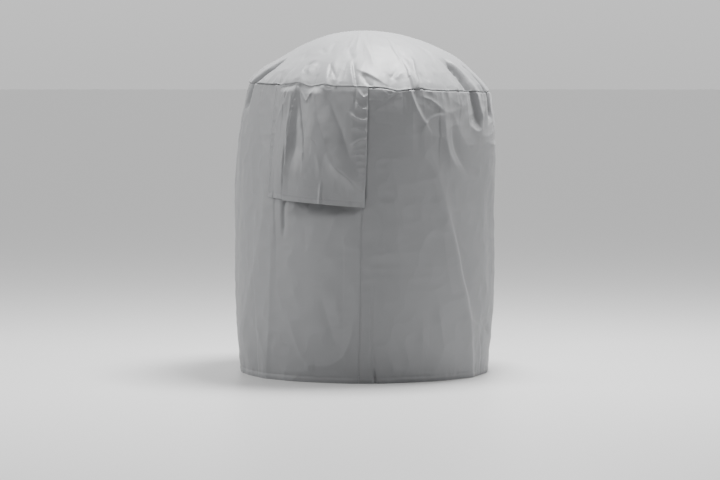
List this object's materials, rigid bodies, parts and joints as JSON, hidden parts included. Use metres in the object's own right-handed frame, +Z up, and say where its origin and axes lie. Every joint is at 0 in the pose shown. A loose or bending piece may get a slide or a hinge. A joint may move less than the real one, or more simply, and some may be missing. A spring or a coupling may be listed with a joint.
{
  "type": "kettle grill cover",
  "caption": "Fitted cloth cover for a round kettle grill: a gathered crown over a two-panel skirt with a turned-up hem and a hooded vent.",
  "frame": {"origin": "middle of the open lower edge, on the surface that the hem stands on", "axes": "+Z up along the cover's axis, -Y towards the vent hood and the front seam"},
  "size_m": [0.6848, 0.6899, 0.9],
  "materials": {
    "cloth": "woven, coated, soft satin sheen",
    "tape": "smooth seam tape",
    "thread": "twisted polyester",
    "mesh": "open knitted net",
    "label": "satin ribbon, blank"
  },
  "bodies": {
    "cover": {"crown_panel": "cloth", "skirt_left_panel": "cloth", "skirt_right_panel": "cloth", "hem_facing_left": "cloth", "hem_facing_right": "cloth", "bottom_hem_thread": "thread", "crown_seam_binding": "tape", "crown_seam_thread": "thread", "front_seam_tape": "tape", "front_seam_thread": "thread", "back_seam_tape": "tape", "back_seam_thread": "thread", "vent_mesh": "mesh", "vent_mesh_binding": "tape", "vent_binding_thread": "thread", "care_label": "label"},
    "vent_hood": {"vent_hood_panel": "cloth", "vent_hood_hem": "cloth", "hood_left_thread": "thread", "hood_right_thread": "thread", "hood_hem_thread": "thread"}
  },
  "joints": [
    {"name": "vent_hood_lift", "type": "hinge", "parent": "cover", "child": "vent_hood", "pos_m": [-0.1208, -0.29967, 0.7435], "axis": [-0.9275, 0.3739, 0], "range_deg": [0, 8]}
  ]
}
